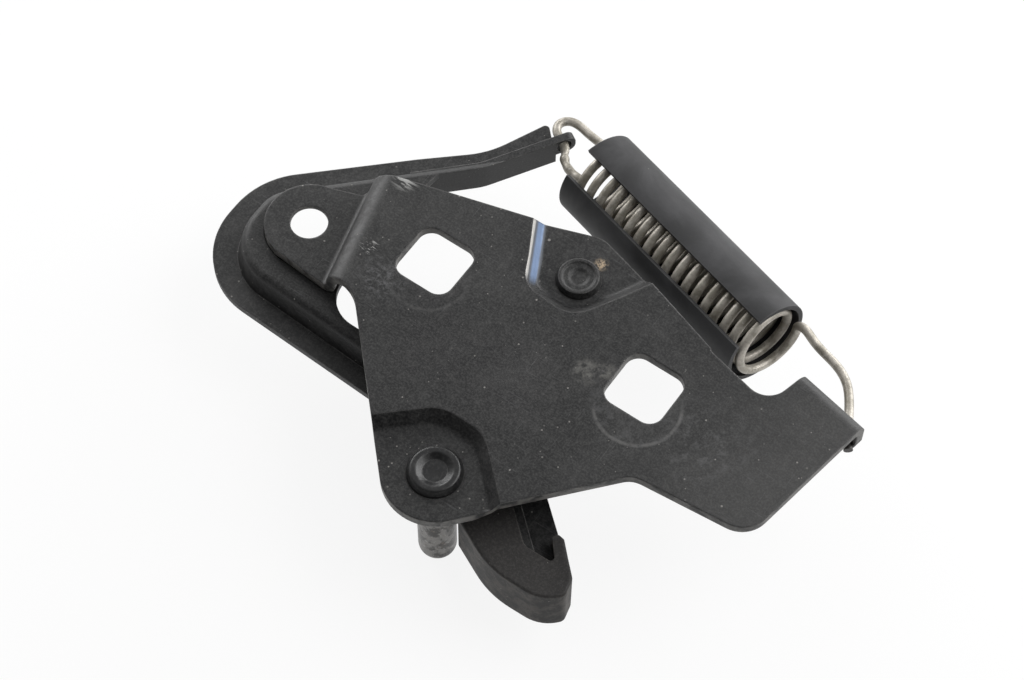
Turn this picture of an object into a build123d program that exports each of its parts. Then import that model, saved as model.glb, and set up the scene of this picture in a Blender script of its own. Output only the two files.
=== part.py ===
"""Door striker: mounting plate, striker pin and a spring loaded latch lever.

Origin: midpoint of the two square bolt holes, on the mounting face.
X runs from the left square hole to the right one, Z points out of the
mounting face, so everything the plate carries lies at negative Z.
All lengths are in mm.
"""

import math
import os

from build123d import *

os.makedirs("parts", exist_ok=True)

# Pressed plate
plate_t = 2.2
bolt_pitch = 53.0
bolt_square = 13.6
bolt_corner_r = 3.2
foot_drop = 7.0
flange_bend_r = 5.3
foot_bend_r = 1.5
tab_depth = 9.8
tab_bend_r = 3.2
boss_depth = 2.6
boss_draft = 44.0
floor_r = 1.6

# Fixed points of the plate, seen on the mounting face
pin_xy = (2.0, -39.4)
stud_xy = (0.0, 15.0)
pivot_xy = (-57.0, -4.4)
foot_r = 9.8
foot_hole_r = 4.1
foot_land = 1.0
flange_foot = (-44.4, -14.4)
flange_head = (-50.8, 10.4)
tab_left = (51.9, 22.7)
tab_right = (67.9, 19.3)

# Striker pin
pin_r = 4.15
pin_reach = 37.5
pin_head_r = 6.0
pin_neck_r = 3.6

# Guide stud
stud_r = 2.6
stud_head_r = 4.95
stud_neck_r = 3.0
stud_tail_r = 2.2
stud_shoulder_r = 5.2
slot_play = 0.35

# Pressed lever
lever_t = 1.8
lever_top = -9.5
lever_step = 6.0
lever_draft = 13.0
rim_top = -10.0
seat_drop = 0.5
lever_swing = 10.0

# Hollow pivot between foot and lever
eyelet_bore_r = 7.0
eyelet_r = 7.8
eyelet_fit = 0.05
eyelet_collar_r = 9.3
seat_play = 0.7
seat_r = eyelet_collar_r + seat_play
eyelet_roll_r = 8.8
axial_play = 0.15

# Tension spring and its sleeve
wire_r = 1.0
coil_r = 7.4
coil_pitch = 3.16
coil_turns = 18
coil_start = 12.4
wire_hole_r = 1.75
tongue_hole = (-25.9, 47.2, -12.3)
tongue_foot = -14.6
tab_hole = (63.45, 21.2, -7.0)
sleeve_r = 10.4
sleeve_wall = 1.1
sleeve_start = 10.9
sleeve_len = 57.0
sleeve_shift = 0.55
sleeve_tilt = 0.9
sleeve_slot = 40.0
sleeve_slot_at = 32.5

# Nose shoe
shoe_top = -12.0
shoe_base = -26.0
nose_rim_top = -12.6

plate_back = -plate_t
boss_back = plate_back - boss_depth
foot_back = -foot_drop - plate_t
lever_base = lever_top - lever_step
lever_back = lever_base - lever_t
seat_top = lever_top - seat_drop
web_back = lever_top - lever_t


def unit(a, b):
    """Unit vector in plan from point a to point b."""
    return Vector(b[0] - a[0], b[1] - a[1], 0).normalized()


def outline(corners):
    """Face through the given corners, each one rounded by its own radius."""
    with BuildSketch() as sk:
        with BuildLine():
            Polyline([(x, y) for x, y, _ in corners], close=True)
        make_face()
        for x, y, r in corners:
            if r:
                fillet(sk.vertices().sort_by_distance((x, y, 0))[0], radius=r)
    return sk.sketch


def bend_section(run, radius, depth, ledge):
    """Section of a sheet that turns down by depth and, past it, out by ledge.

    The outer face of the upright part stands at x = 0.
    """
    with BuildSketch() as sk:
        with BuildLine():
            if ledge:
                Polyline(
                    (-run, 0), (0, 0), (0, -depth), (ledge, -depth),
                    (ledge, -depth - plate_t), (-plate_t, -depth - plate_t),
                    (-plate_t, -plate_t), (-run, -plate_t), close=True,
                )
            else:
                Polyline(
                    (-run, 0), (0, 0), (0, -depth), (-plate_t, -depth),
                    (-plate_t, -plate_t), (-run, -plate_t), close=True,
                )
        make_face()
        fillet(sk.vertices().sort_by_distance((0, 0, 0))[0], radius=radius)
        fillet(sk.vertices().sort_by_distance((-plate_t, -plate_t, 0))[0], radius=radius - plate_t)
        if ledge:
            fillet(sk.vertices().sort_by_distance((0, -depth, 0))[0], radius=foot_bend_r)
            fillet(
                sk.vertices().sort_by_distance((-plate_t, -depth - plate_t, 0))[0],
                radius=foot_bend_r + plate_t,
            )
    return sk.sketch


# Blank of the plate seen from the mounting face, with the foot and the tab
blank = [
    (-59.2, -14.1, 0), (-45.0, -15.1, 0), (-36.8, -15.1, 9.0), (2.4, -56.0, 11.6),
    (35.75, -18.0, 5.0), (61.9, -15.6, 6.5), (67.9, 19.3, 0), (51.9, 22.7, 0),
    (49.0, 11.5, 5.0), (33.0, 15.3, 0), (32.5, 15.9, 0), (9.5, 23.4, 5.0),
    (-1.5, 26.5, 6.0), (-13.2, 22.3, 2.5), (-15.6, 20.8, 0), (-46.3, 12.3, 1.5),
    (-50.7, 10.7, 1.0), (-51.6, 7.8, 1.5), (-58.8, 5.2, 0),
]
with BuildSketch() as blank_face:
    add(outline(blank))
    with Locations(pivot_xy):
        Circle(foot_r)

# Foot flange: the sheet turns back, then out again to carry the pivot
flange_dir = unit(flange_foot, flange_head)
flange_out = Vector(-flange_dir.Y, flange_dir.X, 0)
flange_plane = Plane(origin=(*flange_foot, 0), x_dir=flange_out, z_dir=flange_out.cross(Vector(0, 0, 1)))
with BuildPart() as foot:
    with BuildSketch(flange_plane):
        add(bend_section(7.0, flange_bend_r, foot_drop, 30.0))
    extrude(amount=60, both=True)
    with BuildSketch():
        add(blank_face.sketch)
    extrude(amount=-20, mode=Mode.INTERSECT)

# Spring tab: the sheet turns back square to the spring
tab_dir = unit(tab_left, tab_right)
tab_out = Vector(-tab_dir.Y, tab_dir.X, 0)
tab_plane = Plane(origin=(*tab_left, 0), x_dir=tab_out, z_dir=tab_out.cross(Vector(0, 0, 1)))
with BuildPart() as tab:
    with BuildSketch(tab_plane):
        add(bend_section(6.0, tab_bend_r, tab_depth, 0))
    extrude(amount=60, both=True)
    with BuildSketch():
        add(blank_face.sketch)
    extrude(amount=-20, mode=Mode.INTERSECT)
    fillet(tab.edges().group_by(Axis.Z)[0].sort_by(SortBy.LENGTH)[:2], radius=3.0)

# Recesses that sink the two rivet heads below the mounting face
stud_recess = [
    (-17.4, 24.0, 0), (-11.2, 12.6, 3.0), (-8.2, 6.2, 6.0), (4.6, 5.2, 7.0),
    (10.6, 15.5, 4.0), (15.5, 25.0, 0), (-1.0, 34.0, 0),
]
pin_recess = [
    (-19.0, -40.4, 0), (-5.0, -27.4, 8.0), (5.8, -27.4, 9.0), (18.6, -39.4, 0),
    (12.0, -60.0, 0), (-14.0, -60.0, 0),
]
with BuildPart() as recess_pads:
    for region in (stud_recess, pin_recess):
        with BuildSketch():
            add(outline(region))
            offset(amount=plate_t * 0.62)
        extrude(amount=boss_back, taper=boss_draft)
    with BuildSketch():
        add(blank_face.sketch)
    extrude(amount=-20, mode=Mode.INTERSECT)

with BuildPart() as recess_dies:
    for region in (stud_recess, pin_recess):
        with BuildSketch():
            add(outline(region))
        extrude(amount=-boss_depth, taper=boss_draft)
    fillet(recess_dies.edges().group_by(Axis.Z)[0], radius=floor_r)

with BuildPart() as mounting_plate:
    with BuildSketch():
        add(blank_face.sketch)
    extrude(amount=-plate_t)
    for plane, room in ((flange_plane, flange_bend_r), (tab_plane, tab_bend_r)):
        with BuildSketch(plane):
            with Locations((-room + 20.0, 0)):
                Rectangle(40.0, 6.0)
        extrude(amount=60, both=True, mode=Mode.SUBTRACT)
    add(foot.part)
    add(tab.part)
    add(recess_pads.part)
    add(recess_dies.part, mode=Mode.SUBTRACT)
    with BuildSketch() as bolt_holes:
        with Locations((-bolt_pitch / 2, 0), (bolt_pitch / 2, 0)):
            RectangleRounded(bolt_square, bolt_square, bolt_corner_r)
    extrude(amount=-plate_t * 2, mode=Mode.SUBTRACT)
    with Locations((*pivot_xy, -foot_drop)):
        Hole(foot_hole_r, depth=plate_t * 2)
    with BuildSketch(Plane.XY.offset(foot_back)):
        with Locations(pivot_xy):
            Circle(foot_hole_r + 1.1)
    extrude(amount=plate_t - foot_land, taper=42, mode=Mode.SUBTRACT)
    with Locations((*pin_xy, 0)):
        Hole(pin_neck_r, depth=12)
    with Locations((*stud_xy, 0)):
        Hole(stud_neck_r, depth=12)
    with BuildSketch(Plane(origin=tab_hole, x_dir=tab_dir, z_dir=tab_out)):
        with Locations((0.6, 0)):
            SlotCenterToCenter(2.4, 2 * wire_hole_r)
    extrude(amount=6, both=True, mode=Mode.SUBTRACT)
mounting_plate.part.label = "mounting_plate"
export_step(mounting_plate.part, "parts/mounting_plate.step")

# Striker pin: dished rivet head, neck in the plate, long bearing part with a domed end
with BuildPart() as striker_pin:
    with BuildSketch(Plane.XZ.offset(-pin_xy[1])):
        with BuildLine():
            Polyline(
                (pin_xy[0], -1.9), (pin_xy[0] + 2.6, -1.9), (pin_xy[0] + 3.9, -1.0),
                (pin_xy[0] + pin_head_r - 0.9, -1.0), (pin_xy[0] + pin_head_r, -boss_depth),
                (pin_xy[0] + pin_neck_r, -boss_depth), (pin_xy[0] + pin_neck_r, boss_back),
                (pin_xy[0] + pin_r + 1.3, boss_back), (pin_xy[0] + pin_r + 1.3, boss_back - 1.6),
                (pin_xy[0] + pin_r, boss_back - 2.6), (pin_xy[0] + pin_r, -pin_reach),
                (pin_xy[0], -pin_reach), close=True,
            )
        make_face()
    revolve(axis=Axis((*pin_xy, 0), (0, 0, 1)))
    fillet(striker_pin.edges().group_by(Axis.Z)[-1], radius=0.5)
    fillet(striker_pin.edges().group_by(Axis.Z)[0], radius=pin_r - 0.6)
striker_pin.part.label = "striker_pin"
export_step(striker_pin.part, "parts/striker_pin.step")

# Guide stud: ringed head in its recess, shoulder behind the plate, journal in the lever slot
shoulder_end = lever_top + axial_play
washer_top = web_back - axial_play
washer_t = 1.2
with BuildPart() as guide_stud:
    with BuildSketch(Plane.XZ.offset(-stud_xy[1])):
        with BuildLine():
            Polyline(
                (0, -1.7), (1.6, -1.7), (2.3, -1.35), (3.3, -1.35), (3.7, -1.0),
                (stud_head_r - 0.6, -1.0), (stud_head_r, -boss_depth),
                (stud_neck_r, -boss_depth), (stud_neck_r, boss_back),
                (stud_shoulder_r, boss_back), (stud_shoulder_r, shoulder_end),
                (stud_r, shoulder_end), (stud_r, washer_top),
                (stud_tail_r, washer_top), (stud_tail_r, washer_top - washer_t),
                (stud_tail_r + 1.6, washer_top - washer_t), (stud_tail_r + 1.2, washer_top - washer_t - 1.5),
                (0, washer_top - washer_t - 1.9), close=True,
            )
        make_face()
    revolve(axis=Axis((*stud_xy, 0), (0, 0, 1)))
guide_stud.part.label = "guide_stud"
export_step(guide_stud.part, "parts/guide_stud.step")

with BuildPart() as guide_washer:
    with BuildSketch(Plane.XY.offset(washer_top)):
        with Locations(stud_xy):
            Circle(7.0)
            Circle(stud_tail_r, mode=Mode.SUBTRACT)
    extrude(amount=-washer_t)
    fillet(guide_washer.edges().group_by(Axis.Z)[0].sort_by(SortBy.RADIUS)[-1], radius=0.4)
guide_washer.part.label = "guide_washer"
export_step(guide_washer.part, "parts/guide_washer.step")

# Hollow pivot: a collared tube on the back of the foot, its rear end rolled out
seat_back = seat_top - lever_t
roll_top = seat_back - axial_play
roll_t = 0.8
with BuildPart() as pivot_eyelet:
    with BuildSketch(Plane.XZ.offset(-pivot_xy[1])):
        x0 = pivot_xy[0]
        with BuildLine():
            Polyline(
                (x0 + eyelet_bore_r, foot_back), (x0 + eyelet_collar_r, foot_back),
                (x0 + eyelet_collar_r, seat_top + axial_play), (x0 + eyelet_r, seat_top + axial_play),
                (x0 + eyelet_r, roll_top), (x0 + eyelet_roll_r, roll_top),
                (x0 + eyelet_roll_r, roll_top - roll_t), (x0 + eyelet_bore_r, roll_top - roll_t),
                close=True,
            )
        make_face()
    revolve(axis=Axis((*pivot_xy, 0), (0, 0, 1)))
    rear = pivot_eyelet.edges().filter_by(GeomType.CIRCLE).group_by(Axis.Z)[0].sort_by(SortBy.RADIUS)
    fillet(rear[0], radius=0.6)
pivot_eyelet.part.label = "pivot_eyelet"
export_step(pivot_eyelet.part, "parts/pivot_eyelet.step")

# Lever in plan, and the line along which its web is drawn up towards the plate
lever_edge = [
    (-42.6, 23.1, 0), (-35.5, 30.2, 14.0), (-26.3, 45.1, 0), (-32.8, 51.6, 1.0), (-39.3, 37.3, 22.0),
    (-51.2, 26.6, 30.0), (-76.6, 2.2, 19.0), (-76.4, -25.5, 18.0), (-24.0, -27.6, 0),
    (12.2, -28.8, 8.0), (26.6, -41.2, 1.5), (31.0, -36.0, 1.2), (27.65, -33.1, 0), (28.3, -32.3, 0),
    (17.3, -23.0, 3.0), (14.2, -12.0, 8.0), (13.0, 13.6, 4.0),
    (-11.0, 25.6, 6.0), (-12.5, -18.6, 6.0), (-43.3, -18.4, 8.0), (-43.3, 18.0, 8.0),
]
web_edge = [
    (-28.0, 42.4, 0), (-71.4, -0.9, 9.5), (-71.2, -21.3, 14.0), (16.8, -25.6, 5.0), (17.2, 42.4, 0),
]


def along(start, end, share):
    """Point on the line through two points, share 0 at the first and 1 at the second."""
    return (start[0] + (end[0] - start[0]) * share, start[1] + (end[1] - start[1]) * share)


rim_bend_r = lever_edge[1][2]
rim_points = [corner[:2] for corner in lever_edge[:3]]
arm_rim = [along(rim_points[1], rim_points[0], 1.6), rim_points[1], rim_points[2]]
tongue_rim = [arm_rim[0], arm_rim[1], along(rim_points[1], rim_points[2], 1.27)]
nose_rim_r = lever_edge[9][2]
nose_points = [corner[:2] for corner in lever_edge[8:11]]
nose_rim = [along(nose_points[1], nose_points[0], 0.116), nose_points[1]]
nose_rim.append(along(nose_points[1], nose_points[2], 0.9))


def rim_strip(path, radius):
    """Plan of a rim as thick as the lever sheet, left of the given path."""
    with BuildSketch() as sk:
        with BuildLine():
            line = FilletPolyline(*path, radius=radius)
            offset(line, amount=lever_t, side=Side.LEFT, closed=True)
        make_face()
    return sk.sketch


with BuildPart() as web_hollow:
    with BuildSketch(Plane.XY.offset(lever_back - 0.01)):
        add(outline(web_edge))
        offset(amount=-lever_t)
    extrude(amount=web_back - lever_back + 0.01, taper=lever_draft)

with BuildPart() as lever:
    with BuildSketch(Plane.XY.offset(lever_back)):
        add(outline(web_edge))
    extrude(amount=lever_top - lever_back, taper=lever_draft)
    fillet(lever.edges().group_by(Axis.Z)[-1].filter_by_position(Axis.Y, -30, 30), radius=2.0)
    with BuildSketch(Plane.XY.offset(lever_back)):
        Rectangle(400, 400)
    extrude(amount=lever_t)
    add(web_hollow.part, mode=Mode.SUBTRACT)
    with BuildSketch(Plane.XY.offset(lever_back)):
        add(outline(lever_edge))
    extrude(amount=lever_top - lever_back, mode=Mode.INTERSECT)
    with BuildSketch(Plane.XY.offset(lever_back)):
        add(rim_strip(arm_rim, rim_bend_r))
    extrude(amount=rim_top - lever_back)
    with BuildSketch(Plane.XY.offset(tongue_foot)):
        add(rim_strip(tongue_rim, rim_bend_r))
    extrude(amount=rim_top - tongue_foot)
    with BuildSketch(Plane.XY.offset(lever_back)):
        add(rim_strip(nose_rim, nose_rim_r))
    extrude(amount=nose_rim_top - lever_back)
    # Coined seat round the pivot, pressed through from the front
    with BuildSketch(Plane.XY.offset(web_back)):
        with Locations(pivot_xy):
            Circle(seat_r - 1.2)
    extrude(amount=-seat_drop)
    with BuildSketch(Plane.XY.offset(lever_top)):
        with Locations(pivot_xy):
            Circle(seat_r)
    extrude(amount=-seat_drop, mode=Mode.SUBTRACT)
    with Locations((*pivot_xy, lever_top)):
        Hole(eyelet_r + eyelet_fit, depth=lever_t + seat_drop + 1)
    # Arc slot for the guide stud, struck from the pivot
    arm = Vector(stud_xy[0] - pivot_xy[0], stud_xy[1] - pivot_xy[1], 0)
    heading = math.degrees(math.atan2(arm.Y, arm.X))
    with BuildSketch(Plane.XY.offset(lever_top)) as guide_slot:
        with BuildLine():
            track = CenterArc(pivot_xy, arm.length, heading - lever_swing - 0.3, lever_swing + 0.6)
        SlotArc(track, (stud_r + slot_play) * 2)
    extrude(guide_slot.sketch, amount=-lever_t, mode=Mode.SUBTRACT)
    with BuildSketch(Plane(origin=tongue_hole, z_dir=(0.85, -0.526, 0))):
        Circle(wire_hole_r)
    extrude(amount=3, both=True, mode=Mode.SUBTRACT)
    tongue_end = lever.edges().filter_by(GeomType.LINE).filter_by_position(Axis.Y, 48, 60)
    fillet(tongue_end.filter_by(lambda e: abs(e.tangent_at(0).Z) < 0.1 and 1.5 < e.length < 2.1), radius=1.8)
lever.part.label = "lever"
export_step(lever.part, "parts/lever.step")

# Nose shoe: moulded round the nose arm, open above the arm and closed over its tip
shoe_edge = [
    (9.0, -41.4, 0.8), (20.6, -46.9, 22.0), (33.4, -46.6, 9.0), (36.7, -42.8, 1.6),
    (35.8, -38.9, 1.8), (32.3, -35.5, 4.0), (29.4, -32.6, 0.6), (28.0, -32.4, 0),
    (17.8, -23.9, 2.0), (11.0, -24.2, 4.0), (6.9, -30.0, 3.0), (6.9, -38.1, 1.5),
]
shoe_pocket = [
    (-30.0, -28.65, 0), (12.2, -28.8, 8.0), (19.5, -35.1, 0), (23.6, -38.6, 3.0),
    (31.2, -38.4, 0.8), (26.9, -33.6, 0.8), (34.0, -27.0, 0), (20.0, -10.0, 0), (-30.0, -10.0, 0),
]
with BuildPart() as nose_shoe:
    with BuildSketch(Plane.XY.offset(shoe_base)):
        add(outline(shoe_edge))
    extrude(amount=shoe_top - shoe_base)
    fillet(nose_shoe.edges().group_by(Axis.Z)[0], radius=1.2)
    fillet(nose_shoe.edges().group_by(Axis.Z)[-1].filter_by_position(Axis.X, 9, 40), radius=0.6)
    with BuildSketch(Plane.XY.offset(shoe_top + 1)):
        add(outline(shoe_pocket))
    extrude(amount=lever_base - shoe_top - 1, mode=Mode.SUBTRACT)
    with BuildSketch(Plane.XY.offset(lever_back)):
        add(outline(lever_edge))
    extrude(amount=lever_t, mode=Mode.SUBTRACT)
    with BuildSketch(Plane.XY.offset(lever_back)):
        add(rim_strip(nose_rim, nose_rim_r))
    extrude(amount=nose_rim_top - lever_back, mode=Mode.SUBTRACT)
nose_shoe.part.label = "nose_shoe"
export_step(nose_shoe.part, "parts/nose_shoe.step")

# Tension spring between the lever tongue and the plate tab
axis_from = Vector(*tongue_hole)
axis_to = Vector(*tab_hole)
axis_dir = (axis_to - axis_from).normalized()
side_dir = Vector(0, 0, 1).cross(axis_dir).normalized()
coil_plane = Plane(origin=axis_from + axis_dir * coil_start, x_dir=side_dir, z_dir=axis_dir)
coil_len = coil_pitch * coil_turns
left_end = axis_from + axis_dir * coil_start + side_dir * coil_r
right_end = left_end + axis_dir * coil_len
up = Vector(0, 0, 1)
hook_left = [
    left_end, left_end - axis_dir * 1.8 - up * 2.0, (-16.2, 51.5, -12.8), (-19.2, 51.9, -12.1),
    (-22.3, 52.4, -12.1), (-25.6, 53.2, -12.3), (-28.2, 52.8, -12.3), (-29.5, 51.0, -12.3),
    (-28.8, 49.0, -12.3), (-26.9, 47.9, -12.3), (-24.9, 46.5, -12.3), (-23.5, 44.3, -12.2),
    (-21.7, 42.5, -12.0), (-19.4, 41.5, -11.8), (-17.0, 41.0, -11.5),
]
hook_right = [
    right_end, right_end + axis_dir * 1.9 + up * 2.0, right_end + axis_dir * 5.0 + up * 0.9,
    (54.0, 31.8, -8.0), (58.4, 29.0, -7.6), (61.0, 25.6, -7.2), (63.45, 21.2, -7.0), (65.0, 18.2, -7.0),
    (66.9, 15.6, -7.2),
]


def wire(points, leaving):
    """Round wire along a smooth line through the points, leaving the coil along its tangent."""
    with BuildPart() as run:
        with BuildLine():
            arriving = Vector(*points[-1]) - Vector(*points[-2])
            path = Spline(
                *points, tangents=(leaving.normalized(), arriving.normalized()), tangent_scalars=(1, 1)
            )
        with BuildSketch(Plane(origin=path @ 0, z_dir=path % 0)):
            Circle(wire_r)
        sweep()
    return run.part


with BuildPart() as coil:
    with BuildLine():
        helix = Helix(pitch=coil_pitch, height=coil_len, radius=coil_r)
    with BuildSketch(Plane(origin=helix @ 0, z_dir=helix % 0)):
        Circle(wire_r)
    sweep(is_frenet=True)

coil_tangent = coil_plane.y_dir * (2 * math.pi * coil_r) + axis_dir * coil_pitch
with BuildPart() as spring:
    add(coil_plane.location * coil.part)
    add(wire(hook_left, -coil_tangent))
    add(wire(hook_right, coil_tangent))
spring.part.label = "spring"
export_step(spring.part, "parts/spring.step")

# Split sleeve: a plastic tube with a slot along it, standing off the coil
sleeve_origin = axis_from + axis_dir * sleeve_start + side_dir * sleeve_shift
sleeve_dir = (axis_dir - side_dir * (sleeve_tilt / sleeve_len)).normalized()
with BuildPart() as spring_sleeve:
    with BuildSketch(Plane(origin=sleeve_origin, x_dir=Vector(0, 0, 1).cross(sleeve_dir), z_dir=sleeve_dir)):
        Circle(sleeve_r)
        Circle(sleeve_r - sleeve_wall, mode=Mode.SUBTRACT)
        with BuildLine():
            half = math.radians(sleeve_slot / 2)
            mid = math.radians(90 + sleeve_slot_at)
            Polyline(
                (0, 0), (15 * math.cos(mid - half), 15 * math.sin(mid - half)),
                (15 * math.cos(mid + half), 15 * math.sin(mid + half)), close=True,
            )
        make_face(mode=Mode.SUBTRACT)
    extrude(amount=sleeve_len)
spring_sleeve.part.label = "spring_sleeve"
export_step(spring_sleeve.part, "parts/spring_sleeve.step")
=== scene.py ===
"""Door striker: worn plate, riveted pin, spring-loaded lever and sleeved spring on a pale floor."""

import math

import bpy
from bpy.props import FloatProperty, FloatVectorProperty, PointerProperty
from mathutils import Matrix, Vector


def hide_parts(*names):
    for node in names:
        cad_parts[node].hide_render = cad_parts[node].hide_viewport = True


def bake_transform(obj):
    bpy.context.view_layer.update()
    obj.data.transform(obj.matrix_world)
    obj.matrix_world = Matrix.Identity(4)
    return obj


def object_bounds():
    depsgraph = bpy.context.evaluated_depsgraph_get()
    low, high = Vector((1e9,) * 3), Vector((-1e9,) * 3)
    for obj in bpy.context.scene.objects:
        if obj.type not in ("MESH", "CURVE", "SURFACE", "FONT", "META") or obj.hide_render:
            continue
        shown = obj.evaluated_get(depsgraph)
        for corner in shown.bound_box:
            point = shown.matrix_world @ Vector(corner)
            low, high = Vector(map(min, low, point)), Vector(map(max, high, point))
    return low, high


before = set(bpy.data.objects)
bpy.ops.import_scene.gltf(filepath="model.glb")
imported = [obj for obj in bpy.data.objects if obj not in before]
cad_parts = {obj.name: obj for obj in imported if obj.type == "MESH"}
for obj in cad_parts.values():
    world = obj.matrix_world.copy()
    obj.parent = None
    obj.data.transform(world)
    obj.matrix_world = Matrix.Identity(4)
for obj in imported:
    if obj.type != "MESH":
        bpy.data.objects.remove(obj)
cad_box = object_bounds()

bl_info = {
    "name": "Door Striker",
    "version": (1, 0, 0),
    "blender": (4, 5, 0),
    "location": "View3D > Sidebar > Striker",
    "description": "Finishes the pieces of a door striker and sets its stage",
    "category": "Object",
}

MM = 0.001

# Places and directions on the part, in millimetres, read off the photograph

# The side the even light comes from, away from the photographer
lit_side = (-0.574, 0.819, 0.0)
# Prints of the fastener flanges by the bolt holes: middle, radius, strength, and their clearer side
flange_prints = (((27.7, -4.25, 0.0), 9.1, 0.6), ((-25.5, -3.5, 0.0), 8.6, 0.2))
print_side = (0.574, -0.819, 0.0)
# The wall of the upper recess that carries a painted reflection: its normal, the way across it,
# its middle, and where its painted blue reflection band and its two painted highlight streaks lie
# across it
recess_wall_lean = (0.617, 0.319, 0.719)
recess_wall_across = (0.888, 0.459, 0.0)
recess_wall_middle = (-12.6, 15.6, -1.3)
recess_wall_reflection_band = -2.63
recess_wall_highlight_lines = (-4.1, -0.8)
# The outer bend of the foot, where a highlight is painted: its normal and the X it ends at
foot_bend_lean = (-0.6, 0.1, 0.79)
foot_bend_end = -38
# Dusty smudges: middle, where it starts and ends to fade, cloud (scale, detail, roughness),
# the cloud's soft step, strength, colour
smudges = (
    ((-33.0, -9.5, 0), (1.0, 8.0), (0.7, 5, 0.75), (0.46, 0.66), 0.55, (0.13, 0.13, 0.135)),
    ((14.6, -3.5, 0), (0.8, 4.2), (0.45, 6, 0.7), (0.40, 0.64), 0.5, (0.19, 0.185, 0.17)),
    ((17.8, -1.2, 0), (0.8, 2.6), (0.45, 6, 0.7), (0.40, 0.64), 0.5, (0.19, 0.185, 0.17)),
    ((44.0, -4.0, 0), (2.0, 14.0), (0.35, 5, 0.7), (0.48, 0.66), 0.4, (0.11, 0.11, 0.112)),
)
scuff_spot = (-40.2, -5.0, 0)
worn_corner = (-43.7, 13.2, 0)
rust_spot = (1.8, 20.9, -2.6)
# Heights between which the pin's coating gives way to bare steel
pin_coat_end = (-6.4, -5.2)
shoe_tip = (22.0, -46.0, -12.0)
# The end of the wire in the tab, which lies in the shade: grime and painted shade darken it
shaded_grimy_hook = (65.5, 17.5, -7.0)

FLOOR_HALF = 3.0
# How much of the floor's look is plain white; the rest keeps the shadow
FLOOR_GLOW = 0.87


# Shader maths


class Signal:
    """One output socket of a material. Arithmetic on it adds the Math nodes."""

    def __init__(self, tree, socket):
        self.tree = tree
        self.socket = socket

    def math(self, operation, *values):
        return self.tree.add("ShaderNodeMath", {"operation": operation}, dict(enumerate(values)))

    def __add__(self, other):
        return self.math("ADD", self, other)

    def __radd__(self, other):
        return self.math("ADD", other, self)

    def __sub__(self, other):
        return self.math("SUBTRACT", self, other)

    def __rsub__(self, other):
        return self.math("SUBTRACT", other, self)

    def __mul__(self, other):
        return self.math("MULTIPLY", self, other)

    def __rmul__(self, other):
        return self.math("MULTIPLY", other, self)

    def __truediv__(self, other):
        return self.math("DIVIDE", self, other)

    def size(self):
        return self.math("ABSOLUTE", self)

    def most(self, other):
        return self.math("MAXIMUM", self, other)

    def least(self, other):
        return self.math("MINIMUM", self, other)

    def rise(self, low, high):
        """0 below low, 1 above high, with a soft step between."""
        return self.tree.add(
            "ShaderNodeMapRange",
            {"interpolation_type": "SMOOTHSTEP", "clamp": True},
            {"Value": self, "From Min": low, "From Max": high},
        )

    def fall(self, low, high):
        return 1 - self.rise(low, high)

    def output(self, name):
        return Signal(self.tree, self.socket.node.outputs[name])


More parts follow.
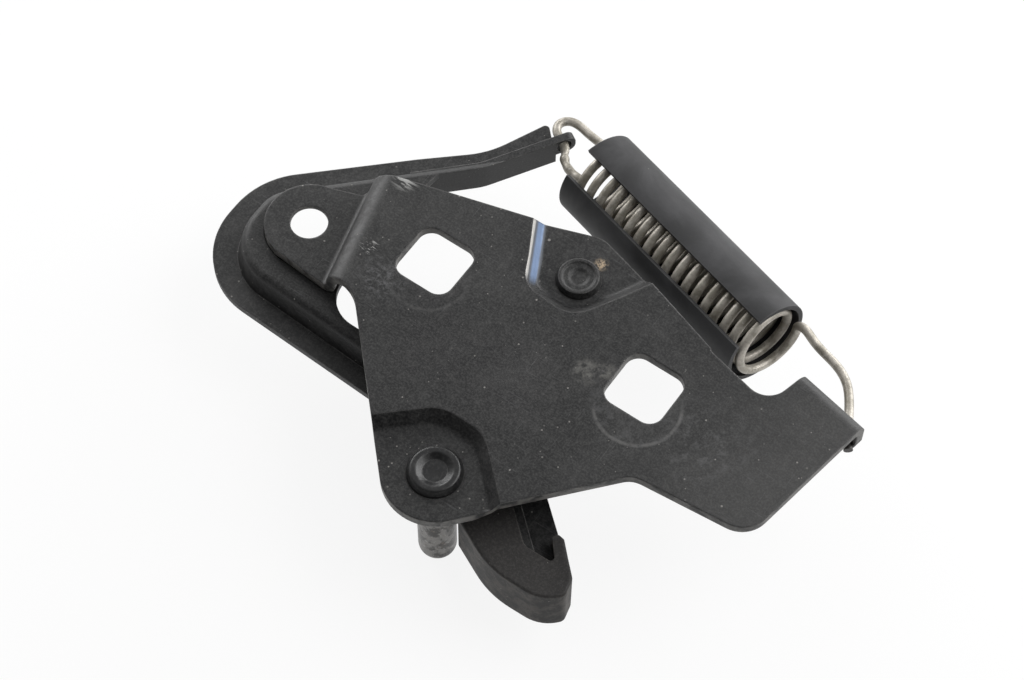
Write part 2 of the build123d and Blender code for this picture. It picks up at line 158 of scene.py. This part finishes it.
class Finish:
    """A material and the node tree it is built in, with positions in millimetres."""

    def __init__(self, name):
        self.material = bpy.data.materials.new(name)
        self.material.use_nodes = True
        self.nodes = self.material.node_tree.nodes
        self.links = self.material.node_tree.links
        self.nodes.clear()
        self.surface = self.add("ShaderNodeBsdfPrincipled").socket.node
        out = self.add("ShaderNodeOutputMaterial", output=None)
        self.links.new(self.surface.outputs["BSDF"], out.inputs["Surface"])
        place = self.add("ShaderNodeTexCoord").output("Object")
        self.place = self.vector("SCALE", place, Scale=1 / MM)

    def add(self, kind, settings=None, values=None, output=0):
        """Any node: its type, its settings, and the values or links of its sockets."""
        node = self.nodes.new(kind)
        for key, value in (settings or {}).items():
            setattr(node, key, value)
        for key, value in (values or {}).items():
            self.feed(node, key, value)
        return node if output is None else Signal(self, node.outputs[output])

    def feed(self, node, key, value):
        socket = node.inputs[key]
        if isinstance(value, Signal):
            self.links.new(value.socket, socket)
        elif isinstance(value, (tuple, list)) and socket.type == "RGBA":
            socket.default_value = (*value[:3], 1.0)
        else:
            socket.default_value = value

    def vector(self, operation, first, second=None, **more):
        values = {0: first}
        if second is not None:
            values[1] = second
        values.update(more)
        return self.add("ShaderNodeVectorMath", {"operation": operation}, values)

    def mix(self, share, first, second):
        """Colour between two colours, or one per share."""
        node = self.add("ShaderNodeMix", {"data_type": "RGBA"}, output=None)
        for key, value in ((0, share), (6, first), (7, second)):
            self.feed(node, key, value)
        return Signal(self, node.outputs[2])

    def noise(self, scale, detail=3.0, roughness=0.5, place=None, distortion=0.0):
        return self.add(
            "ShaderNodeTexNoise",
            {"noise_dimensions": "3D"},
            {
                "Vector": place or self.place,
                "Scale": scale,
                "Detail": detail,
                "Roughness": roughness,
                "Distortion": distortion,
            },
        )

    def stretched(self, stretch, turn=0.0, slip=(0, 0, 0)):
        """Place turned about Z and stretched, for streaks and drawing marks."""
        return self.add(
            "ShaderNodeMapping",
            {"vector_type": "POINT"},
            {"Vector": self.place, "Location": slip, "Rotation": (0, 0, turn), "Scale": stretch},
        )

    def dot(self, first, second):
        return self.vector("DOT_PRODUCT", first, second).output("Value")

    def away(self, point):
        """Distance in millimetres from a point."""
        return self.vector("DISTANCE", self.place, point).output("Value")

    def along(self, axis):
        return self.add("ShaderNodeSeparateXYZ", None, {0: self.place}).output(axis)

    def facing(self, direction):
        """Cosine between the surface's normal and a direction."""
        normal = self.add("ShaderNodeNewGeometry").output("Normal")
        return self.dot(normal, direction)

    def edges(self, radius, gain=1.0):
        """Mask of worn edges, from how far a rounded normal leans off the true one."""
        rounded = self.add("ShaderNodeBevel", {"samples": 6}, {"Radius": radius * MM})
        normal = self.add("ShaderNodeNewGeometry").output("Normal")
        return ((1 - self.dot(rounded, normal)) * gain).least(1.0).most(0.0)

    def specks(self, spacing, size, share, slip=(0, 0, 0)):
        """Scattered dots: cell size and dot radius in millimetres, share of cells that hold one."""
        cells = self.add(
            "ShaderNodeTexVoronoi",
            {"feature": "F1"},
            {"Vector": self.vector("ADD", self.place, slip), "Scale": 1 / spacing},
        )
        lot = self.add("ShaderNodeSeparateColor", None, {0: cells.output("Color")})
        held = lot.output("Red").rise(1 - share - 0.01, 1 - share)
        reach = lot.output("Green") * (size / spacing)
        return (cells / reach.most(0.001)).fall(0.75, 1.0) * held

    def set(self, **values):
        """Fixed values and links of the surface's own sockets."""
        for key, value in values.items():
            self.feed(self.surface, key.replace("_", " "), value)

    def bump(self, height, distance, strength=1.0, rounding=0.0):
        """Fine relief in millimetres, over a rounding of the sharp edges."""
        values = {"Height": height, "Distance": distance * MM, "Strength": strength}
        if rounding:
            values["Normal"] = self.add("ShaderNodeBevel", {"samples": 6}, {"Radius": rounding * MM})
        self.set(Normal=self.add("ShaderNodeBump", None, values))


# Settings a user would change


class CoatSettings(bpy.types.PropertyGroup):
    """Black coating of the plate and the lever."""

    colour: FloatVectorProperty(
        name="Coat", description="Colour of the black coating", subtype="COLOR",
        default=(0.0035, 0.0036, 0.0040), min=0.0, max=1.0,
    )
    dusty: FloatVectorProperty(
        name="Dust", description="Colour of the dusty, rubbed coating", subtype="COLOR",
        default=(0.046, 0.0455, 0.0445), min=0.0, max=1.0,
    )
    bare: FloatVectorProperty(
        name="Bare edge", description="Colour of steel showing at worn edges", subtype="COLOR",
        default=(0.2, 0.195, 0.19), min=0.0, max=1.0,
    )
    edge: FloatProperty(
        name="Edge wear", description="Width of the worn edge in millimetres",
        default=0.45, min=0.05, max=2.0,
    )


class SteelSettings(bpy.types.PropertyGroup):
    """Bare steel of the pin and the spring."""

    pin: FloatVectorProperty(
        name="Pin", description="Colour of the worn pin", subtype="COLOR",
        default=(0.15, 0.145, 0.138), min=0.0, max=1.0,
    )
    wire: FloatVectorProperty(
        name="Wire", description="Colour of the spring wire", subtype="COLOR",
        default=(0.46, 0.43, 0.38), min=0.0, max=1.0,
    )


class PlasticSettings(bpy.types.PropertyGroup):
    """Plastic of the shoe and the sleeve."""

    shoe: FloatVectorProperty(
        name="Shoe", description="Colour of the nose shoe", subtype="COLOR",
        default=(0.012, 0.0115, 0.0115), min=0.0, max=1.0,
    )
    rubbed_and_reflection: FloatVectorProperty(
        name="Rubbed", description="Colour of the shoe where it is rubbed", subtype="COLOR",
        default=(0.010, 0.0095, 0.009), min=0.0, max=1.0,
    )
    sleeve: FloatVectorProperty(
        name="Sleeve", description="Colour of the spring's sleeve", subtype="COLOR",
        default=(0.017, 0.017, 0.018), min=0.0, max=1.0,
    )


class StageSettings(bpy.types.PropertyGroup):
    """Camera, lamps and floor."""

    lens: FloatProperty(
        name="Lens", description="Focal length for a 36 mm wide sensor", unit="CAMERA",
        default=91.406, min=20, max=300,
    )
    station: FloatVectorProperty(
        name="Camera", description="Camera position", subtype="XYZ", unit="LENGTH",
        default=(0.1493, -0.2272, 0.4672),
    )
    turn: FloatVectorProperty(
        name="Camera turn", description="Tilt, roll and heading of the camera",
        subtype="EULER", unit="ROTATION",
        default=(math.radians(-29.82), math.radians(-0.39), math.radians(-35.13)),
    )
    floor_drop: FloatProperty(
        name="Floor drop", description="Floor below the lowest piece", unit="LENGTH",
        default=0.0005, min=0.0,
    )
    key_power: FloatProperty(
        name="Key lamp", description="Power of the overhead softbox in watts",
        default=5.3, min=0.0, max=100.0,
    )
    left_power: FloatProperty(
        name="Left lamp", description="Power of the low left softbox in watts",
        default=5.2, min=0.0, max=100.0,
    )
    back_power: FloatProperty(
        name="Back lamp", description="Power of the low softbox beyond the spring in watts",
        default=7.2, min=0.0, max=100.0,
    )
    sky: FloatProperty(
        name="Sky", description="Strength of the even light from all round",
        default=0.43, min=0.0, max=2.0,
    )


# Finishes


def black_coat(name, marks=None, rounding=0.6):
    """Worn black coating on sheet steel: cloudy dust, specks, hair scratches and rubbed edges."""
    look = bpy.context.scene.striker_coat
    f = Finish(name)
    cloud = f.noise(0.055, 6, 0.62, distortion=0.6)
    fine = f.noise(0.6, 5, 0.65)
    grain = f.noise(2.1, 3, 0.75)
    streaks = f.noise(1.0, 2, 0.5, f.stretched((0.10, 3.2, 1.0), math.radians(28)))
    hairs = f.noise(1.0, 2, 0.5, f.stretched((3.6, 0.09, 1.0), math.radians(-37), (7, 3, 0)))
    scratches = streaks.rise(0.66, 0.74).most(hairs.rise(0.68, 0.75))
    dust = cloud.rise(0.40, 0.70) * 0.26 + fine.rise(0.42, 0.70) * 0.26
    dust = dust + grain.rise(0.42, 0.64) * 0.48
    dots = f.specks(1.25, 0.26, 0.42) * f.noise(0.09, 3, 0.6).rise(0.42, 0.56)
    dots = dots.most(f.specks(3.6, 0.4, 0.2, (3.1, 1.7, 5.2)))
    worn = f.edges(look.edge, 4.0) * (0.25 + 0.75 * f.noise(0.35, 4, 0.7).rise(0.38, 0.62))
    tone = f.mix(dust, tuple(look.colour), tuple(look.dusty))
    tone = f.mix(scratches * 0.2, tone, (0.13, 0.13, 0.135))
    tone = f.mix(worn * 0.6, tone, tuple(look.bare))
    tone = f.mix(dots * 0.75, tone, (0.24, 0.23, 0.215))
    rough = 0.4 + dust * 0.2 + fine * 0.1 - worn * 0.08
    if marks:
        tone, rough = marks(f, tone, rough)
    f.set(Base_Color=tone, Roughness=rough, Specular_IOR_Level=0.38)
    f.bump(grain * 0.6 + fine * 0.8, 0.03, 0.5, look.edge * rounding)
    return f.material


def plate_marks(f, tone, rough):
    """Marks of use on the plate: flange prints, dust, rust and scratches; and painted light: an edge
    glint on the cut edges, a sheen towards the tab, a highlight on the foot's bend and a reflection
    on a recess wall.
    """
    # Cut edges made lighter: bare sheared steel, together with a painted edge glint
    sheared_and_glint = f.facing((0, 0, 1)).size().fall(0.15, 0.45) * f.noise(0.25, 3, 0.6).rise(0.35, 0.6)
    tone = f.mix(sheared_and_glint * 0.75, tone, (0.17, 0.165, 0.155))
    for middle, radius, share in flange_prints:
        far = f.away(middle)
        below = f.dot(f.vector("SUBTRACT", f.place, middle), print_side)
        patchy = f.noise(0.45, 4, 0.7).rise(0.30, 0.58)
        ring = (far - radius).size().fall(0.05, 0.6) * below.rise(-2.0, 3.5) * patchy
        tone = f.mix(ring * share, tone, (0.12, 0.118, 0.115))
        around = far.fall(radius - 1, radius + 4) * f.noise(0.4, 4, 0.7).rise(0.45, 0.6)
        tone = f.mix(around * share * 0.4, tone, (0.08, 0.08, 0.082))
    # Lighter towards the tab: a painted sheen
    tone = f.mix(f.along("X").rise(22, 72) * 0.25, tone, (0.085, 0.084, 0.082))
    # Outer bend of the foot: a painted highlight on its side towards the left lamp
    bend = f.facing(foot_bend_lean).rise(0.90, 0.99) * f.noise(0.5, 4, 0.7).rise(0.36, 0.6)
    at_foot = f.along("X").fall(foot_bend_end - 3, foot_bend_end)
    tone = f.mix(bend * at_foot * 0.4, tone, (0.13, 0.13, 0.132))
    # Wall of the upper recess towards the foot: a painted reflection, a blue band with two pale
    # painted highlight streaks
    across = f.dot(f.place, recess_wall_across)
    rubbed_and_reflection = f.facing(recess_wall_lean).rise(0.80, 0.93)
    rubbed_and_reflection = rubbed_and_reflection * f.away(recess_wall_middle).fall(7.0, 10.5)
    band = (across - recess_wall_reflection_band).size().fall(0.35, 0.9)
    reflection_bands = f.mix(band, (0.07, 0.075, 0.085), (0.12, 0.17, 0.27))
    outer, inner = recess_wall_highlight_lines
    highlight_lines = (across - outer).size().fall(0.15, 0.5).most((across - inner).size().fall(0.08, 0.3))
    reflection_bands = f.mix(highlight_lines * 0.8, reflection_bands, (0.40, 0.39, 0.37))
    tone = f.mix(rubbed_and_reflection * 0.9, tone, reflection_bands)
    f.set(Metallic=rubbed_and_reflection * 0.6)
    for middle, fade, cloud, step, share, colour in smudges:
        tone = f.mix(f.away(middle).fall(*fade) * f.noise(*cloud).rise(*step) * share, tone, colour)
    strokes = f.noise(1.0, 3, 0.6, f.stretched((0.5, 2.6, 1.0), math.radians(-52)))
    scuff = f.away(scuff_spot).fall(0.8, 2.6) * strokes.rise(0.57, 0.62)
    strokes = f.noise(1.0, 3, 0.6, f.stretched((0.35, 1.6, 1.0), 0.3))
    corner = f.away(worn_corner).fall(0.8, 4.0) * strokes.rise(0.46, 0.56)
    tone = f.mix(scuff.most(corner * 0.8) * 0.8, tone, (0.42, 0.42, 0.41))
    rust = f.away(rust_spot).fall(0.3, 2.0) * f.noise(1.1, 4, 0.7).rise(0.42, 0.56)
    tone = f.mix(rust * 0.85, tone, (0.40, 0.31, 0.21))
    return tone, rough - rubbed_and_reflection * 0.06 + rust * 0.2


def pin_steel():
    """Black rivet head on top, bare worn steel below the plate."""
    look = bpy.context.scene.striker_steel
    coat = bpy.context.scene.striker_coat
    f = Finish("pin_steel")
    bare = f.along("Z").fall(*pin_coat_end)
    patch = f.noise(0.4, 5, 0.6)
    fine = f.noise(1.5, 5, 0.65)
    steel = f.mix(patch.rise(0.42, 0.56), (0.024, 0.022, 0.020), tuple(look.pin))
    steel = f.mix(fine.rise(0.55, 0.70) * 0.45, steel, (0.40, 0.40, 0.39))
    steel = f.mix(f.noise(0.9, 3, 0.6).rise(0.58, 0.68) * 0.4, steel, (0.09, 0.06, 0.04))
    worn = f.edges(0.35, 4.0)
    head = f.mix(fine.rise(0.45, 0.7) * 0.4, tuple(coat.colour), tuple(coat.dusty))
    head = f.mix(worn * 0.6, head, tuple(coat.bare))
    f.set(Base_Color=f.mix(bare, head, steel), Roughness=0.22 + patch * 0.3, Metallic=bare * 0.85)
    f.bump(fine * 0.6 + patch, 0.06, 0.6, 0.5)
    return f.material


def dull_zinc():
    """Grey plated steel of the hidden pivot and washer."""
    f = Finish("dull_zinc")
    patch = f.noise(0.3, 4, 0.6)
    tone = f.mix(patch.rise(0.35, 0.65), (0.13, 0.128, 0.12), (0.2, 0.2, 0.195))
    tone = f.mix(f.edges(0.4, 4.0) * 0.5, tone, (0.4, 0.4, 0.4))
    f.set(Base_Color=tone, Roughness=0.4 + patch * 0.2, Metallic=0.8)
    f.bump(f.noise(2.0, 4, 0.6), 0.03, 0.5, 0.3)
    return f.material


def shoe_plastic():
    """Moulded block: dark on top, rubbed and pitted down its sides."""
    look = bpy.context.scene.striker_plastic
    f = Finish("shoe_plastic")
    fine = f.noise(2.2, 5, 0.7)
    patch = f.noise(0.28, 5, 0.7)
    tip = f.away(shoe_tip).fall(6.0, 26.0)
    side = f.facing((0, 0, 1)).fall(0.25, 0.75)
    worn = f.edges(0.5, 4.5) * f.noise(0.6, 3, 0.6).rise(0.35, 0.6)
    tone = f.mix(fine.rise(0.42, 0.66) * 0.5 + tip * 0.5, tuple(look.shoe), (0.058, 0.055, 0.053))
    rubbed_and_reflection = f.mix(patch.rise(0.42, 0.62), tuple(look.rubbed_and_reflection), (0.058, 0.052, 0.046))
    rubbed_and_reflection = f.mix(fine.rise(0.52, 0.66) * 0.4, rubbed_and_reflection, (0.008, 0.0075, 0.007))
    tone = f.mix(side, tone, rubbed_and_reflection)
    tone = f.mix(worn * 0.5, tone, (0.13, 0.12, 0.11))
    pits = f.specks(3.0, 0.8, 0.22)
    tone = f.mix(pits * side * 0.85, tone, (0.008, 0.008, 0.007))
    tone = f.mix(f.specks(1.6, 0.24, 0.3, (2, 5, 1)) * 0.6, tone, (0.22, 0.21, 0.195))
    f.set(Base_Color=tone, Roughness=0.48 + fine * 0.16, Specular_IOR_Level=0.26)
    f.bump(fine + patch * 0.8 - pits * 0.8, 0.05, 0.6, 0.35)
    return f.material


def spring_wire():
    """Dull plated wire, flecked darker, with grime and painted shade at its hook end in the tab."""
    look = bpy.context.scene.striker_steel
    f = Finish("spring_wire")
    patch = f.noise(0.25, 4, 0.6)
    fine = f.noise(2.4, 4, 0.6)
    tone = f.mix(patch.rise(0.38, 0.62), (0.26, 0.24, 0.20), tuple(look.wire))
    tone = f.mix(fine.rise(0.52, 0.68) * 0.3, tone, (0.10, 0.09, 0.075))
    tone = f.mix(f.noise(0.8, 3, 0.7).rise(0.58, 0.68) * 0.4, tone, (0.55, 0.53, 0.49))
    # Hook end in the tab: grime and painted shade
    tone = f.mix(f.away(shaded_grimy_hook).fall(2.5, 4.5), tone, (0.03, 0.028, 0.026))
    f.set(Base_Color=tone, Roughness=0.34 + fine * 0.2, Metallic=0.4)
    f.bump(fine, 0.04, 0.6)
    return f.material


def sleeve_plastic():
    """Soft black plastic of the split sleeve, with a faint bumpy grain, and rubbed pale."""
    look = bpy.context.scene.striker_plastic
    f = Finish("sleeve_plastic")
    fine = f.noise(0.9, 5, 0.6)
    patch = f.noise(0.07, 5, 0.6, distortion=0.5)
    worn = f.edges(0.45, 3.5)
    tone = f.mix(patch.rise(0.4, 0.7) * 0.5, tuple(look.sleeve), (0.06, 0.06, 0.063))
    tone = f.mix(worn * 0.5, tone, (0.15, 0.15, 0.15))
    tone = f.mix(f.specks(3.2, 0.3, 0.2) * 0.4, tone, (0.2, 0.2, 0.19))
    f.set(Base_Color=tone, Roughness=0.5 + fine * 0.14, Specular_IOR_Level=0.34)
    f.bump(fine + patch, 0.04, 0.5, 0.3)
    return f.material


def dress(node, material):
    """Gives a CAD node its finish."""
    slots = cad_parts[node].data.materials
    if len(slots) == 0:
        slots.append(material)
    for index in range(len(slots)):
        slots[index] = material


def stretching(node):
    """A copy of a CAD node that stands for it, with the original hidden."""
    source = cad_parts[node]
    item = bpy.data.objects.new(node + "_stretching", source.data.copy())
    item.matrix_world = source.matrix_world
    bpy.context.scene.collection.objects.link(item)
    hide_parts(node)
    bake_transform(item)
    return item


# Stage


def turn_towards(item, target):
    item.rotation_mode = "QUATERNION"
    item.rotation_quaternion = (Vector(target) - item.location).to_track_quat("-Z", "Y")


def softbox(name, place, target, width, height, power):
    lamp = bpy.data.lights.new(name, "AREA")
    lamp.shape = "RECTANGLE"
    lamp.size = width
    lamp.size_y = height
    lamp.energy = power
    item = bpy.data.objects.new(name, lamp)
    item.location = place
    bpy.context.scene.collection.objects.link(item)
    turn_towards(item, target)


def place_camera(stage):
    tilt, roll, heading = stage.turn
    axes = Matrix.Rotation(tilt, 3, "X") @ Matrix.Rotation(roll, 3, "Y")
    axes = axes @ Matrix.Diagonal((1, -1, -1)) @ Matrix.Rotation(heading, 3, "Z")
    right, down, forward = axes.row[0], axes.row[1], axes.row[2]
    camera = bpy.data.cameras.new("photo_camera")
    camera.lens = stage.lens
    camera.sensor_width = 36
    item = bpy.data.objects.new("photo_camera", camera)
    bpy.context.scene.collection.objects.link(item)
    pose = Matrix((right, -down, -forward)).transposed().to_4x4()
    item.matrix_world = Matrix.Translation(stage.station) @ pose
    bpy.context.scene.camera = item


def soft_sky(strength):
    """White light from all round, weaker from the side where the photographer stands."""
    world = bpy.data.worlds.new("soft_sky")
    world.use_nodes = True
    nodes, links = world.node_tree.nodes, world.node_tree.links
    way = nodes.new("ShaderNodeTexCoord")
    lean = nodes.new("ShaderNodeVectorMath")
    lean.operation = "DOT_PRODUCT"
    lean.inputs[1].default_value = lit_side
    level = nodes.new("ShaderNodeMapRange")
    spread = {"From Min": -0.8, "From Max": 0.8, "To Min": 0.2 * strength, "To Max": 1.6 * strength}
    for key, value in spread.items():
        level.inputs[key].default_value = value
    links.new(way.outputs["Generated"], lean.inputs[0])
    links.new(lean.outputs["Value"], level.inputs["Value"])
    back = nodes["Background"]
    back.inputs["Color"].default_value = (1, 1, 1, 1)
    links.new(level.outputs["Result"], back.inputs["Strength"])
    return world


def pale_floor(level):
    """Large floor, near white to the camera, that keeps the object's shadow."""
    mesh = bpy.data.meshes.new("floor")
    signs = ((-1, -1), (1, -1), (1, 1), (-1, 1))
    mesh.from_pydata([(x * FLOOR_HALF, y * FLOOR_HALF, level) for x, y in signs], [], [(0, 1, 2, 3)])
    item = bpy.data.objects.new("floor", mesh)
    bpy.context.scene.collection.objects.link(item)
    f = Finish("pale_floor")
    f.set(Base_Color=(0.86, 0.86, 0.86), Roughness=0.9, Specular_IOR_Level=0.0)
    glow = f.add("ShaderNodeEmission", None, {"Color": (1, 1, 1), "Strength": 1.0})
    path = f.add("ShaderNodeLightPath")
    seen = path.output("Is Camera Ray").most(path.output("Is Glossy Ray"))
    seen = seen.most(path.output("Is Transmission Ray"))
    both = f.add("ShaderNodeMixShader", None, {0: seen * FLOOR_GLOW})
    f.links.new(f.surface.outputs["BSDF"], both.socket.node.inputs[1])
    f.links.new(glow.socket, both.socket.node.inputs[2])
    out = next(n for n in f.nodes if n.bl_idname == "ShaderNodeOutputMaterial")
    f.links.new(both.socket, out.inputs["Surface"])
    mesh.materials.append(f.material)


# Operators


class STRIKER_OT_stage(bpy.types.Operator):
    """Sets the camera, the lamps, the even light and the pale floor"""

    bl_idname = "striker.stage"
    bl_label = "Stage"

    def execute(self, context):
        stage = context.scene.striker_stage
        context.scene.view_settings.view_transform = "Standard"
        place_camera(stage)
        low, high = cad_box
        pale_floor(low.z - stage.floor_drop)
        softbox("key", (0.48, 0.36, 0.68), (0, 0, 0), 0.7, 0.7, stage.key_power)
        softbox("left", (-0.72, 0.36, 0.27), (0, 0, 0), 0.6, 0.5, stage.left_power)
        softbox("back", (0.30, 0.85, 0.25), (0, 0, 0), 1.0, 0.45, stage.back_power)
        context.scene.world = soft_sky(stage.sky)
        return {"FINISHED"}


class STRIKER_OT_plate(bpy.types.Operator):
    """Finishes the mounting plate in worn black coating"""

    bl_idname = "striker.plate"
    bl_label = "Mounting plate"

    def execute(self, context):
        dress("mounting_plate", black_coat("plate_coat", plate_marks, rounding=1.3))
        return {"FINISHED"}


class STRIKER_OT_rivets(bpy.types.Operator):
    """Finishes the striker pin, the guide stud, its washer and the pivot eyelet"""

    bl_idname = "striker.rivets"
    bl_label = "Pin and rivets"

    def execute(self, context):
        dress("striker_pin", pin_steel())
        dress("guide_stud", black_coat("rivet_coat", rounding=1.2))
        zinc = dull_zinc()
        for node in ("guide_washer", "pivot_eyelet"):
            dress(node, zinc)
        return {"FINISHED"}


class STRIKER_OT_lever(bpy.types.Operator):
    """Finishes the drawn lever in worn black coating"""

    bl_idname = "striker.lever"
    bl_label = "Lever"

    def execute(self, context):
        dress("lever", black_coat("lever_coat"))
        return {"FINISHED"}


class STRIKER_OT_shoe(bpy.types.Operator):
    """Finishes the moulded nose shoe"""

    bl_idname = "striker.shoe"
    bl_label = "Nose shoe"

    def execute(self, context):
        dress("nose_shoe", shoe_plastic())
        return {"FINISHED"}


class STRIKER_OT_spring(bpy.types.Operator):
    """Finishes the tension spring and its split sleeve"""

    bl_idname = "striker.spring"
    bl_label = "Spring and sleeve"

    def execute(self, context):
        dress("spring", spring_wire())
        stretching("spring")
        dress("spring_sleeve", sleeve_plastic())
        return {"FINISHED"}


class STRIKER_PT_panel(bpy.types.Panel):
    """Lists the striker's operators and settings"""

    bl_idname = "STRIKER_PT_panel"
    bl_label = "Door Striker"
    bl_space_type = "VIEW_3D"
    bl_region_type = "UI"
    bl_category = "Striker"

    def draw(self, context):
        for operator in OPERATORS:
            self.layout.operator(operator.bl_idname)
        for settings in SETTINGS:
            box = self.layout.box()
            for key in SETTINGS[settings].__annotations__:
                box.prop(getattr(context.scene, settings), key)


SETTINGS = {
    "striker_coat": CoatSettings,
    "striker_steel": SteelSettings,
    "striker_plastic": PlasticSettings,
    "striker_stage": StageSettings,
}
OPERATORS = (
    STRIKER_OT_stage,
    STRIKER_OT_plate,
    STRIKER_OT_rivets,
    STRIKER_OT_lever,
    STRIKER_OT_shoe,
    STRIKER_OT_spring,
)


def register():
    for settings, kind in SETTINGS.items():
        bpy.utils.register_class(kind)
        setattr(bpy.types.Scene, settings, PointerProperty(type=kind))
    for kind in (*OPERATORS, STRIKER_PT_panel):
        bpy.utils.register_class(kind)


def unregister():
    for kind in reversed((*OPERATORS, STRIKER_PT_panel)):
        bpy.utils.unregister_class(kind)
    for settings, kind in SETTINGS.items():
        delattr(bpy.types.Scene, settings)
        bpy.utils.unregister_class(kind)


def main():
    register()
    for operator in OPERATORS:
        getattr(bpy.ops.striker, operator.bl_idname.split(".")[1])()


if __name__ == "__main__":
    main()
